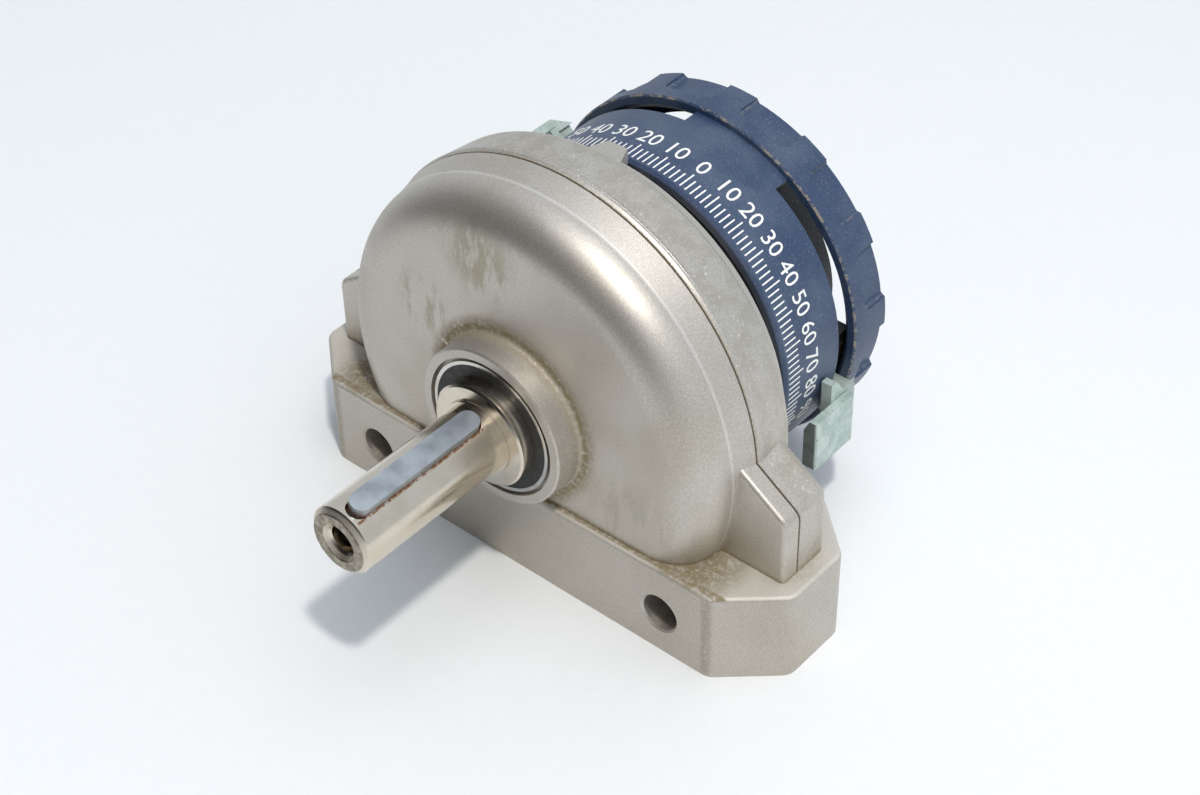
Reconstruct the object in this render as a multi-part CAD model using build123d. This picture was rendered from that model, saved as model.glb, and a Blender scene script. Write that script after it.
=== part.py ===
from build123d import *
import os
from math import cos, radians, sin, sqrt

# Pneumatic rotary actuator with a single vane, in millimetres.
# The shaft runs along Y and points to -Y, +Z is up, +X is to the right seen from the shaft end.
# The origin is on the shaft axis, in the plane of the front boss face.
# Angles are measured about the shaft axis from straight up, clockwise seen from the shaft end.

os.makedirs("parts", exist_ok=True)

# Clearances
RUNNING = 0.05
SEAT_GAP = 0.02
LOOSE = 0.3

# Output shaft
SHAFT_D = 16.0
SHAFT_END_Y = -45.0
SHAFT_CHAMFER = 1.3
STEP_R = 8.8
STEP_LENGTH = 0.8
COLLAR_R = 12.4
COLLAR_FRONT_Y = -3.6
COLLAR_CHAMFER = 0.45
JOURNAL_R = 10.0
TAIL_R = 9.0
CENTRE_HOLE_R = 2.5
CENTRE_HOLE_DEPTH = 16.0
CENTRE_MOUTH_R = 4.6
CENTRE_CONE_LENGTH = 1.6
CENTRE_RELIEF_R = 3.2
CENTRE_RELIEF_DEPTH = 5.0
KEY_WIDTH = 5.0
KEY_HEIGHT = 5.0
KEY_PROUD = 2.0
KEY_LENGTH = 36.0
KEY_FRONT_Y = -42.3
KEYWAY_SPARE = 0.8
ROTOR_ANGLE = 15.5

# Ball bearings, 20 x 32 x 7
BEARING_R = 16.0
BEARING_WIDTH = 7.0
BEARING_Y = 0.2
INNER_RING_R = 11.8
OUTER_RING_BORE_R = 14.8
SEAL_SEAT_R = 15.2
SEAL_THICKNESS = 0.6
BALL_COUNT = 9
CAGE_WALL = 0.8
CAGE_WIDTH = 2.2

SNAP_RING_THICKNESS = 1.1
SNAP_RING_BORE_R = 14.2
SNAP_GAP_ANGLE = 12.0
SNAP_EYE_ANGLE = 5.0
SNAP_EYE_R = 1.4

# Housing, two castings that part in a plane square to the shaft
BOSS_R = 19.2
BOSS_CHAMFER = 0.4
BOSS_FILLET = 1.0
COUNTERBORE_R = 16.9
COUNTERBORE_DEPTH = 2.0
FACE_Y = 7.0
DOME_CORNER_R = 10.0
DOME_EDGE_R = 51.5
PARTING_R = 52.8
PARTING_Y = 23.0
GASKET_THICKNESS = 0.5
GASKET_INSET = 0.7
REAR_BEAD_R = 53.2
REAR_BEAD_WIDTH = 0.8
SHOULDER_R = 52.2
SHOULDER_Y = 33.6
SHOULDER_DROP = 3.9
SHOULDER_END_Y = 37.2
GROOVE_DEPTH = 1.6
LIP_STEP = 0.7
LIP_ROOT_Y = 38.0
LIP_TAPER = 0.9
LIP_Y = 41.1
REAR_BOSS_R = 20.5
REAR_BOSS_Y = 51.0
THROAT_R = 13.0
THROAT_LENGTH = 0.8

# Pressure chamber and vane
CHAMBER_R = 39.0
CHAMBER_FRONT_Y = 11.0
CHAMBER_WIDTH = 24.0
CHAMBER_CORNER_R = 8.0
CHAMBER_HALF_ANGLE = 114.0
VANE_HUB_R = 15.0
VANE_THICKNESS = 10.0
VANE_INSET = 0.8
VANE_SEAL_THICKNESS = 5.0
VANE_SEAL_DEPTH = 3.2
STATOR_SEAL_WIDTH = 5.0
STATOR_SEAL_HEIGHT = 5.0
SHAFT_SEAL_R = 14.0
VANE_KEY_LENGTH = 18.0

# Ears on both sides, with the air ports in their rear faces
EAR_X = 64.0
EAR_FRONT_Y = 18.6
EAR_REAR_Y = 33.5
EAR_INNER_X = 50.5
EAR_INNER_Z = 5.5
EAR_OUTER_Z = -3.8
EAR_CORNER_R = 3.0
EAR_EDGE_R = 1.2
EAR_REAR_EDGE_R = 2.6
PORT_X = 55.5
PORT_Z = -12.5
PORT_R = 4.4
PORT_DEPTH = 9.0
PASSAGE_R = 1.75

# Foot
FOOT_HALF_WIDTH = 68.1
FOOT_FRONT_Y = 5.3
FOOT_REAR_Y = 45.6
FOOT_TOP_Z = -20.3
FOOT_BOTTOM_Z = -43.5
FOOT_CHAMFER_X = 13.2
FOOT_CHAMFER_Y = 11.7
FOOT_CORNER_R = 4.0
FOOT_EDGE_R = 1.0
FOOT_HOLE_X = 41.6
FOOT_HOLE_Z = -32.9
FOOT_HOLE_R = 4.5
FOOT_HOLE_CHAMFER = 0.5
TENON_HALF_WIDTH = 33.0
TENON_BOTTOM_Z = -38.0

# Index lug on the rear rim
LUG_ANGLE = -3.0
LUG_WIDTH = 9.0
LUG_TIP_WIDTH = 5.0
LUG_START_Y = 38.4
LUG_TIP_Y = 45.6
LUG_INNER_R = 43.0
LUG_RISE = 0.5

# Scale drum, one moulding with the slotted gap and the scalloped ring
DRUM_R = 41.6
DRUM_WALL = 2.5
DRUM_FRONT_Y = 47.0
DRUM_CHAMFER_R = 1.4
DRUM_CHAMFER_Y = 1.6
SLOT_FRONT_Y = 67.0
SLOT_WIDTH = 4.0
WEB_HALF_ANGLE = 18.0
WEB_COUNT = 2
SCALE_ZERO_ANGLE = 15.5
RING_R = 43.2
RING_REAR_Y = 82.5
RING_FLANGE_R = 34.5
RING_FLANGE_THICKNESS = 2.0
RING_BORE_R = 39.6
RING_FRONT_LAND = 1.4
RING_EDGE = 0.4
GRIP_COUNT = 13
GRIP_OFFSET_ANGLE = 1.75
GRIP_DEPTH = 1.3
GRIP_HALF_ANGLE = 9.1
GRIP_START_Y = 74.8
GRIP_CORNER_R = 2.2
GRIP_EDGE = 0.7
DISC_THICKNESS = 3.5
PILLAR_COUNT = 4
PILLAR_FIRST_ANGLE = 45.0
PILLAR_CIRCLE_R = 29.0
PILLAR_R = 4.5
PILLAR_END_Y = 50.0

# Stop lever on the rear of the shaft
LEVER_HUB_R = 28.5
LEVER_FRONT_Y = 58.6
LEVER_REAR_Y = 83.5
LEVER_CUP_R = 23.5
LEVER_CUP_Y = 74.0
LEVER_ARM_R = 37.8
LEVER_ARM_FRONT_Y = 61.5
LEVER_ARM_REAR_Y = 77.5
LEVER_HALF_ANGLE = 17.5
LEVER_KEY_LENGTH = 12.0
SHAFT_TAIL_Y = 73.2
WASHER_R = 13.0
WASHER_THICKNESS = 2.0

# Adjustable stops, clamped in the slot of the drum, with sizes along the rim from the lever's contact plane
RIGHT_STOP_ANGLE = 89.5
LEFT_STOP_ANGLE = -45.8
STOP_LIFT = 1.8
STOP_THICKNESS = 3.4
STOP_START = 9.7
STOP_END = 22.6
STOP_FRONT_Y = 52.6
STOP_SLANT_Y = 66.2
STOP_CORNER_LENGTH = 2.8
STOP_CORNER_HEIGHT = 1.4
STOP_CHAMFER = 0.5
STOP_FOOT_TIP = 5.0
STOP_FOOT_HEIGHT = 2.7
STOP_FOOT_FRONT_Y = 60.8
STOP_FOOT_TIP_Y = 62.6
TONGUE_START = 11.0
TONGUE_END = 19.6
STOP_BUFFER_THICKNESS = 3.0
NUT_INNER_R = 31.0
NUT_END = 19.0
NUT_FRONT_Y = 62.0
NUT_REAR_Y = 76.0
STOP_SCREW_OFFSET = 14.6
STOP_SCREW_TOP_SPARE = 1.0

# Screws, by thread: shank, head, head height, clearance hole
M2_5 = {"shank": 1.25, "head": 2.25, "height": 1.5, "hex": 1.0}
M4 = {"shank": 2.0, "head": 3.5, "height": 4.0, "hex": 1.5}
M5 = {"shank": 2.5, "head": 4.25, "height": 5.0, "hex": 2.0}
M8 = {"shank": 4.0, "head": 6.5, "height": 5.5, "hex": 3.0}
HOLE_CLEARANCE = 0.25
HEAD_CLEARANCE = 0.2
BLIND_SPARE = 2.0
HOUSING_SCREW_INSET = 3.2
HOUSING_SCREW_ANGLES = (0.0, 52.0, -52.0, 100.0, -100.0, 140.0, -140.0)
HOUSING_SCREW_DEPTH = 9.0
HOUSING_SCREW_HEAD_Y = 36.0
FOOT_SCREW_X = 16.0
FOOT_SCREW_INSET = 7.5
FOOT_SCREW_LENGTH = 12.0
FOOT_SCREW_HEAD_HEIGHT = 3.6
FOOT_SCREW_SINK = 0.6
DOWEL_R = 2.0
DOWEL_LENGTH = 12.0
DOWEL_ANGLE = 76.0
DRUM_SCREW_LENGTH = 9.0
LEVER_BOLT_LENGTH = 16.0

# Derived sizes
SHAFT_R = SHAFT_D / 2
REAR_PARTING_Y = PARTING_Y + GASKET_THICKNESS
CHAMBER_REAR_Y = CHAMBER_FRONT_Y + CHAMBER_WIDTH
CHAMBER_MID_Y = (CHAMBER_FRONT_Y + CHAMBER_REAR_Y) / 2
SEAL_LENGTH = CHAMBER_FRONT_Y - BEARING_Y - BEARING_WIDTH - THROAT_LENGTH
REAR_BEARING_Y = CHAMBER_REAR_Y + SEAL_LENGTH + THROAT_LENGTH
REAR_BEARING_END_Y = REAR_BEARING_Y + BEARING_WIDTH
SNAP_GROOVE_WIDTH = SNAP_RING_THICKNESS + 0.1
BALL_CIRCLE_R = (INNER_RING_R + OUTER_RING_BORE_R) / 2
BALL_R = (OUTER_RING_BORE_R - INNER_RING_R) / 2 - RUNNING
SLOT_REAR_Y = SLOT_FRONT_Y + SLOT_WIDTH
DRUM_BORE_R = DRUM_R - DRUM_WALL
STOP_INNER_R = DRUM_R + STOP_LIFT
STOP_OUTER_R = STOP_INNER_R + STOP_THICKNESS
TONGUE_FRONT_Y = SLOT_FRONT_Y + RUNNING
TONGUE_REAR_Y = SLOT_REAR_Y - RUNNING
NUT_OUTER_R = DRUM_BORE_R - SEAT_GAP
SHOULDER_END_R = SHOULDER_R - SHOULDER_DROP
GROOVE_R = SHOULDER_END_R - GROOVE_DEPTH
LIP_ROOT_R = GROOVE_R + LIP_STEP
LIP_R = LIP_ROOT_R - LIP_TAPER
LUG_OUTER_R = LIP_R + LUG_RISE
HOUSING_SCREW_CIRCLE_R = CHAMBER_R + HOUSING_SCREW_INSET
BIG = 200.0


def turned(points):
    """A solid of revolution about the shaft axis from (radius, y) points."""
    return revolve(make_face(Polyline(*points, close=True)), Axis.Y, 360)


def sleeve(inner, outer, y0, y1):
    return turned([(inner, y0), (outer, y0), (outer, y1), (inner, y1)])


def rod(radius, y0, y1):
    return sleeve(0, radius, y0, y1)


def at(angle, shape):
    """Turns a shape that was made pointing up to its angle about the shaft."""
    return Rot(0, angle, 0) * shape


def block(x0, x1, y0, y1, z0, z1):
    middle = ((x0 + x1) / 2, (y0 + y1) / 2, (z0 + z1) / 2)
    return Pos(*middle) * Box(x1 - x0, y1 - y0, z1 - z0)


def prism_y(sketch, y0, y1):
    """Extrudes a sketch drawn in (x, z) from y0 to y1."""
    return extrude(Pos(0, y1, 0) * (Plane.XZ * sketch), amount=y1 - y0)


def turned_between(points, angle0, angle1):
    """The same between two angles about the shaft."""
    face = make_face(Polyline(*points, close=True))
    return Rot(0, angle0 - 90, 0) * revolve(face, Axis.Y, angle1 - angle0)


def sector(inner, outer, y0, y1, angle0, angle1):
    return turned_between([(inner, y0), (outer, y0), (outer, y1), (inner, y1)], angle0, angle1)


def post(radius, x, y, z0, z1):
    """A cylinder that stands along Z."""
    return Pos(x, y, (z0 + z1) / 2) * Cylinder(radius, z1 - z0)


def bore_y(radius, x, z, y0, y1):
    """A cylinder that lies along Y."""
    return Pos(x, (y0 + y1) / 2, z) * Rot(90, 0, 0) * Cylinder(radius, y1 - y0)


def polar(radius, angle):
    return radius * sin(radians(angle)), radius * cos(radians(angle))


def feather(width, length, y_middle, z0, z1):
    """A key with round ends, lying along the shaft."""
    outline = Pos(0, y_middle, z0) * Rot(0, 0, 90) * SlotOverall(length, width)
    return extrude(outline, amount=z1 - z0)


def socket_screw(size, length):
    """A socket head cap screw along Z, its head above the origin and its shank below."""
    head = Pos(0, 0, size["height"] / 2) * Cylinder(size["head"], size["height"])
    shank = Pos(0, 0, -length / 2) * Cylinder(size["shank"], length)
    hexagon = Pos(0, 0, size["height"] / 2) * RegularPolygon(size["hex"], 6)
    return head + shank - extrude(hexagon, amount=size["height"])


def along_y(shape, x, y, z):
    """Lays a screw made along Z so that its head points to +Y."""
    return Pos(x, y, z) * Rot(-90, 0, 0) * shape


def parts_of(shapes):
    return Compound(children=list(shapes))


def body_outline(y0, y1, radius, inset=0.0):
    """The round body cut flat where it sits on the foot, with its tenon below."""
    disc = rod(radius - inset, y0, y1)
    upper = disc & block(-BIG, BIG, y0, y1, FOOT_TOP_Z + inset, BIG)
    return upper + tenon(y0, y1, inset)


def tenon(y0, y1, inset=0.0):
    half = TENON_HALF_WIDTH - inset
    return block(-half, half, y0, y1, TENON_BOTTOM_Z + inset, FOOT_TOP_Z + inset)


def ear(side, y0, y1, inset=0.0):
    """One ear, drawn in (x, z) as its outline seen from the shaft end."""
    outer = EAR_X - inset
    base = FOOT_TOP_Z + inset
    points = [(BOSS_R * 2, base), (outer, base), (outer, EAR_OUTER_Z - inset),
              (EAR_INNER_X, EAR_INNER_Z - inset), (BOSS_R * 2, EAR_INNER_Z - inset)]
    outline = make_face(Polyline(*[(side * x, z) for x, z in points], close=True))
    corner = [v for v in outline.vertices() if abs(v.X - side * outer) < 0.01 and v.Y > base + 1]
    return prism_y(fillet(corner, EAR_CORNER_R), y0, y1)


def swept_room(inset, half_angle):
    """The ring sector that the vane sweeps, set in from the chamber's walls."""
    depth = CHAMBER_R - inset - VANE_HUB_R
    face = Pos(VANE_HUB_R + depth / 2, CHAMBER_MID_Y) * Rectangle(depth, CHAMBER_WIDTH - 2 * inset)
    outer = [v for v in face.vertices() if v.X > VANE_HUB_R + 1]
    face = fillet(outer, CHAMBER_CORNER_R - inset)
    return Rot(0, -half_angle - 90, 0) * revolve(face, Axis.Y, 2 * half_angle)


def chamber():
    """The swept sector and the round room of the vane's hub."""
    hub_room = rod(VANE_HUB_R + RUNNING, CHAMBER_FRONT_Y, CHAMBER_REAR_Y)
    return swept_room(0, CHAMBER_HALF_ANGLE) + hub_room


def stator_seal_room(gap=0.0):
    """The groove of the strip under the vane's hub, open to the room of the hub."""
    half = STATOR_SEAL_WIDTH / 2 - gap
    floor = -VANE_HUB_R - STATOR_SEAL_HEIGHT + gap
    return block(-half, half, CHAMBER_FRONT_Y + gap, CHAMBER_REAR_Y - gap, floor, -JOURNAL_R)


def housing_screw_places():
    return [polar(HOUSING_SCREW_CIRCLE_R, angle) for angle in HOUSING_SCREW_ANGLES]


def foot_screw_places():
    front = FACE_Y + FOOT_SCREW_INSET
    rear = LIP_Y - FOOT_SCREW_INSET
    return [(x, y) for x in (-FOOT_SCREW_X, FOOT_SCREW_X) for y in (front, rear)]


def dowel_places():
    return [polar(HOUSING_SCREW_CIRCLE_R, angle) for angle in (-DOWEL_ANGLE, DOWEL_ANGLE)]


def pillar_places():
    step = 360 / PILLAR_COUNT
    return [polar(PILLAR_CIRCLE_R, PILLAR_FIRST_ANGLE + i * step) for i in range(PILLAR_COUNT)]


def tapped_foot_holes():
    hole_top = TENON_BOTTOM_Z + FOOT_SCREW_LENGTH
    return [post(M5["shank"] + SEAT_GAP, x, y, TENON_BOTTOM_Z - 1, hole_top) for x, y in foot_screw_places()]


def dowel_holes():
    y0 = REAR_PARTING_Y - DOWEL_LENGTH / 2
    y1 = REAR_PARTING_Y + DOWEL_LENGTH / 2
    return [bore_y(DOWEL_R + SEAT_GAP, x, z, y0, y1) for x, z in dowel_places()]


def front_housing():
    arc_r = DOME_EDGE_R - DOME_CORNER_R
    arc_y = FACE_Y + DOME_CORNER_R
    diagonal = sqrt(0.5)
    root_r = BOSS_R + BOSS_FILLET
    root_y = FACE_Y - BOSS_FILLET
    boss = Polyline((0, PARTING_Y), (0, 0), (BOSS_R - BOSS_CHAMFER, 0), (BOSS_R, BOSS_CHAMFER), (BOSS_R, root_y))
    root = ThreePointArc((BOSS_R, root_y),
                         (root_r - BOSS_FILLET * diagonal, root_y + BOSS_FILLET * diagonal),
                         (root_r, FACE_Y))
    face = Line((root_r, FACE_Y), (arc_r, FACE_Y))
    dome = ThreePointArc((arc_r, FACE_Y),
                         (arc_r + DOME_CORNER_R * diagonal, arc_y - DOME_CORNER_R * diagonal),
                         (DOME_EDGE_R, arc_y))
    rim = Polyline((DOME_EDGE_R, arc_y), (PARTING_R, PARTING_Y), (0, PARTING_Y))
    shell = revolve(make_face([boss, root, face, dome, rim]), Axis.Y, 360)
    shell = shell & block(-BIG, BIG, -BIG, BIG, FOOT_TOP_Z, BIG)
    shell = shell + tenon(FACE_Y, PARTING_Y)
    for side in (-1, 1):
        wedge = ear(side, EAR_FRONT_Y, PARTING_Y)
        front_edges = [e for e in wedge.edges()
                       if e.bounding_box().max.Y < EAR_FRONT_Y + 0.01
                       and e.bounding_box().size.X + e.bounding_box().size.Z > EAR_EDGE_R
                       and e.bounding_box().max.Z > FOOT_TOP_Z + 0.1
                       and abs(e.center().X) > EAR_INNER_X]
        shell = shell + fillet(front_edges, EAR_EDGE_R)
    seat = turned([(0, -1), (COUNTERBORE_R, -1), (COUNTERBORE_R, COUNTERBORE_DEPTH),
                   (BEARING_R + SEAT_GAP, COUNTERBORE_DEPTH),
                   (BEARING_R + SEAT_GAP, BEARING_Y + BEARING_WIDTH),
                   (THROAT_R, BEARING_Y + BEARING_WIDTH),
                   (THROAT_R, BEARING_Y + BEARING_WIDTH + THROAT_LENGTH),
                   (SHAFT_SEAL_R, BEARING_Y + BEARING_WIDTH + THROAT_LENGTH),
                   (SHAFT_SEAL_R, CHAMBER_FRONT_Y + 1), (0, CHAMBER_FRONT_Y + 1)])
    screw_holes = [bore_y(M4["shank"] + SEAT_GAP, x, z, PARTING_Y - HOUSING_SCREW_DEPTH - BLIND_SPARE, PARTING_Y)
                   for x, z in housing_screw_places()]
    cuts = [seat, chamber(), stator_seal_room(), *screw_holes, *tapped_foot_holes(), *dowel_holes()]
    return shell - cuts


def lug():
    """The index lug, a tapered block that reaches back over the front of the scale."""
    half = LUG_WIDTH / 2
    tip = LUG_TIP_WIDTH / 2
    outline = make_face(Polyline((-half, LUG_START_Y), (half, LUG_START_Y), (half, LIP_Y),
                                 (tip, LUG_TIP_Y), (-tip, LUG_TIP_Y), (-half, LIP_Y), close=True))
    body = extrude(Pos(0, 0, LUG_INNER_R) * outline, amount=LUG_OUTER_R - LUG_INNER_R)
    tip_edges = [e for e in body.edges()
                 if e.center().Z > LUG_OUTER_R - 0.01 and e.center().Y > LUG_START_Y + 0.1]
    return at(LUG_ANGLE, chamfer(tip_edges, 0.6))


def rear_housing():
    profile = [(0, REAR_PARTING_Y), (PARTING_R, REAR_PARTING_Y), (REAR_BEAD_R, REAR_PARTING_Y + REAR_BEAD_WIDTH),
               (SHOULDER_R, SHOULDER_Y)]
    middle = (SHOULDER_R - (SHOULDER_R - SHOULDER_END_R) * 0.3, SHOULDER_Y + (SHOULDER_END_Y - SHOULDER_Y) * 0.7)
    shoulder = ThreePointArc((SHOULDER_R, SHOULDER_Y), middle, (SHOULDER_END_R, SHOULDER_END_Y))
    rest = [(SHOULDER_END_R, SHOULDER_END_Y), (GROOVE_R, SHOULDER_END_Y), (LIP_ROOT_R, LIP_ROOT_Y),
            (LIP_R, LIP_Y), (REAR_BOSS_R, LIP_Y), (REAR_BOSS_R, REAR_BOSS_Y),
             (0, REAR_BOSS_Y), (0, REAR_PARTING_Y)]
    shell = revolve(make_face([Polyline(*profile), shoulder, Polyline(*rest)]), Axis.Y, 360)
    shell = shell & block(-BIG, BIG, -BIG, BIG, FOOT_TOP_Z, BIG)
    shell = shell + rod(REAR_BOSS_R, CHAMBER_REAR_Y, REAR_BOSS_Y) + tenon(REAR_PARTING_Y, LIP_Y)
    for side in (-1, 1):
        wedge = ear(side, REAR_PARTING_Y, EAR_REAR_Y)
        rear_edges = [e for e in wedge.edges()
                      if e.bounding_box().min.Y > EAR_REAR_Y - 0.01
                      and e.bounding_box().size.X + e.bounding_box().size.Z > EAR_EDGE_R
                      and e.bounding_box().max.Z > FOOT_TOP_Z + 0.1
                      and abs(e.center().X) > EAR_INNER_X]
        shell = shell + fillet(rear_edges, EAR_REAR_EDGE_R)
    for x, z in pillar_places():
        shell = shell + bore_y(PILLAR_R, x, z, CHAMBER_REAR_Y, PILLAR_END_Y)
    shell = shell + lug()
    seat_start = REAR_BEARING_Y - THROAT_LENGTH
    seat = turned([(0, CHAMBER_REAR_Y - 1), (SHAFT_SEAL_R, CHAMBER_REAR_Y - 1), (SHAFT_SEAL_R, seat_start),
                   (THROAT_R, seat_start), (THROAT_R, REAR_BEARING_Y),
                   (BEARING_R + SEAT_GAP, REAR_BEARING_Y), (BEARING_R + SEAT_GAP, REAR_BOSS_Y + 1),
                   (0, REAR_BOSS_Y + 1)])
    groove = sleeve(BEARING_R - 1, COUNTERBORE_R, REAR_BEARING_END_Y, REAR_BEARING_END_Y + SNAP_GROOVE_WIDTH)
    cuts = [seat, groove, chamber(), stator_seal_room(), *tapped_foot_holes(), *dowel_holes()]
    for x, z in housing_screw_places():
        cuts.append(bore_y(M4["shank"] + HOLE_CLEARANCE, x, z, REAR_PARTING_Y - 1, LIP_Y + 1))
        cuts.append(bore_y(M4["head"] + HEAD_CLEARANCE, x, z, HOUSING_SCREW_HEAD_Y, LIP_Y + 1))
    for x, z in pillar_places():
        cuts.append(bore_y(M4["shank"] + SEAT_GAP, x, z, PILLAR_END_Y - DRUM_SCREW_LENGTH, PILLAR_END_Y + 1))
    for side in (-1, 1):
        cuts.append(bore_y(PORT_R, side * PORT_X, PORT_Z, EAR_REAR_Y - PORT_DEPTH, EAR_REAR_Y + 1))
        y_passage = CHAMBER_REAR_Y - CHAMBER_CORNER_R
        passage = Cylinder(PASSAGE_R, PORT_X - CHAMBER_R + VANE_SEAL_DEPTH)
        x_passage = side * (PORT_X + CHAMBER_R - VANE_SEAL_DEPTH) / 2
        cuts.append(Pos(x_passage, y_passage, PORT_Z) * Rot(0, 90, 0) * passage)
    return shell - cuts


def housing_gasket():
    """The flat seal in the parting plane, set back a little from the outside."""
    sheet = body_outline(PARTING_Y, REAR_PARTING_Y, PARTING_R, GASKET_INSET)
    for side in (-1, 1):
        sheet = sheet + ear(side, PARTING_Y, REAR_PARTING_Y, GASKET_INSET)
    cuts = [chamber(), stator_seal_room()]
    cuts += [bore_y(M4["shank"] + HOLE_CLEARANCE, x, z, PARTING_Y - 1, REAR_PARTING_Y + 1)
             for x, z in housing_screw_places()]
    cuts += dowel_holes()
    return sheet - cuts


def housing_screws():
    length = HOUSING_SCREW_HEAD_Y - PARTING_Y + HOUSING_SCREW_DEPTH
    return parts_of([along_y(socket_screw(M4, length), x, HOUSING_SCREW_HEAD_Y, z)
                     for x, z in housing_screw_places()])


def dowel_pins():
    y0 = REAR_PARTING_Y - DOWEL_LENGTH / 2
    y1 = REAR_PARTING_Y + DOWEL_LENGTH / 2
    return parts_of([bore_y(DOWEL_R, x, z, y0 + SEAT_GAP, y1 - SEAT_GAP) for x, z in dowel_places()])


def foot_base():
    w = FOOT_HALF_WIDTH
    near = w - FOOT_CHAMFER_X
    outline = make_face(Polyline((near, FOOT_FRONT_Y), (w, FOOT_FRONT_Y + FOOT_CHAMFER_Y),
                                 (w, FOOT_REAR_Y - FOOT_CHAMFER_Y), (near, FOOT_REAR_Y),
                                 (-near, FOOT_REAR_Y), (-w, FOOT_REAR_Y - FOOT_CHAMFER_Y),
                                 (-w, FOOT_FRONT_Y + FOOT_CHAMFER_Y), (-near, FOOT_FRONT_Y), close=True))
    body = extrude(Pos(0, 0, FOOT_BOTTOM_Z) * outline, amount=FOOT_TOP_Z - FOOT_BOTTOM_Z)
    body = fillet(body.edges().filter_by(Axis.Z), FOOT_CORNER_R)
    top_edges = [e for e in body.edges() if e.center().Z > FOOT_TOP_Z - 0.01]
    body = fillet(top_edges, FOOT_EDGE_R)
    half = TENON_HALF_WIDTH + RUNNING
    cuts = [block(-half, half, FACE_Y - RUNNING, FOOT_REAR_Y + 1, TENON_BOTTOM_Z, FOOT_TOP_Z + 1)]
    for side in (-1, 1):
        x = side * FOOT_HOLE_X
        cuts.append(bore_y(FOOT_HOLE_R, x, FOOT_HOLE_Z, FOOT_FRONT_Y - 1, FOOT_REAR_Y + 1))
        mouth = Cone(FOOT_HOLE_R + FOOT_HOLE_CHAMFER, FOOT_HOLE_R, FOOT_HOLE_CHAMFER)
        cuts.append(Pos(x, FOOT_FRONT_Y + FOOT_HOLE_CHAMFER / 2, FOOT_HOLE_Z) * Rot(-90, 0, 0) * mouth)
    for x, y in foot_screw_places():
        cuts.append(post(M5["shank"] + HOLE_CLEARANCE, x, y, FOOT_BOTTOM_Z - 1, TENON_BOTTOM_Z + 1))
        cuts.append(post(M5["head"] + HEAD_CLEARANCE, x, y, FOOT_BOTTOM_Z - 1, TENON_BOTTOM_Z - FOOT_SCREW_SINK))
    return body - cuts


def foot_screws():
    low_head = dict(M5, height=FOOT_SCREW_HEAD_HEIGHT)
    screw = Rot(180, 0, 0) * socket_screw(low_head, FOOT_SCREW_LENGTH - BLIND_SPARE)
    return parts_of([Pos(x, y, TENON_BOTTOM_Z - FOOT_SCREW_SINK) * screw for x, y in foot_screw_places()])


def outer_ring(y):
    seat = SEAL_THICKNESS + RUNNING
    return turned([(SEAL_SEAT_R, y), (BEARING_R, y), (BEARING_R, y + BEARING_WIDTH),
                   (SEAL_SEAT_R, y + BEARING_WIDTH), (SEAL_SEAT_R, y + BEARING_WIDTH - seat),
                   (OUTER_RING_BORE_R, y + BEARING_WIDTH - seat), (OUTER_RING_BORE_R, y + seat),
                   (SEAL_SEAT_R, y + seat)])


def inner_ring(y):
    return sleeve(JOURNAL_R + SEAT_GAP, INNER_RING_R, y, y + BEARING_WIDTH)


def ball_places(y):
    middle = y + BEARING_WIDTH / 2
    places = [polar(BALL_CIRCLE_R, i * 360 / BALL_COUNT) for i in range(BALL_COUNT)]
    return [(x, middle, z) for x, z in places]


def bearing_balls(y):
    return parts_of([Pos(*place) * Sphere(BALL_R) for place in ball_places(y)])


def bearing_cage(y):
    middle = y + BEARING_WIDTH / 2
    ring = sleeve(BALL_CIRCLE_R - CAGE_WALL / 2, BALL_CIRCLE_R + CAGE_WALL / 2,
                  middle - CAGE_WIDTH, middle + CAGE_WIDTH / 4)
    pocket = post(BALL_R + RUNNING, 0, middle, BALL_CIRCLE_R - CAGE_WALL, BALL_CIRCLE_R + CAGE_WALL)
    return ring - [at(i * 360 / BALL_COUNT, pocket) for i in range(BALL_COUNT)]


def bearing_seals(y):
    inner = INNER_RING_R + RUNNING
    outer = SEAL_SEAT_R - SEAT_GAP
    rear = y + BEARING_WIDTH
    return parts_of([sleeve(inner, outer, y, y + SEAL_THICKNESS),
                     sleeve(inner, outer, rear - SEAL_THICKNESS, rear)])


def snap_ring():
    """An open retaining ring in the rear boss, with two eyes at its gap."""
    y0 = REAR_BEARING_END_Y + RUNNING
    y1 = REAR_BEARING_END_Y + SNAP_RING_THICKNESS
    ring = sector(SNAP_RING_BORE_R, COUNTERBORE_R - RUNNING, y0, y1, SNAP_GAP_ANGLE, 360 - SNAP_GAP_ANGLE)
    for side in (-1, 1):
        x, z = polar(SNAP_RING_BORE_R, side * (SNAP_GAP_ANGLE + SNAP_EYE_ANGLE))
        ring = ring + bore_y(SNAP_EYE_R, x, z, y0, y1) - bore_y(SNAP_EYE_R / 2, x, z, y0 - 1, y1 + 1)
    return ring


def shaft_seal(y0, y1):
    lip = JOURNAL_R + RUNNING
    middle = (y0 + y1) / 2
    return turned([(lip + 0.6, y0), (SHAFT_SEAL_R - SEAT_GAP, y0), (SHAFT_SEAL_R - SEAT_GAP, y1),
                   (lip + 0.6, y1), (lip, middle)])


def stator_seal():
    return stator_seal_room(SEAT_GAP) - rod(VANE_HUB_R + 2 * RUNNING, CHAMBER_FRONT_Y, CHAMBER_REAR_Y)


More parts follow.
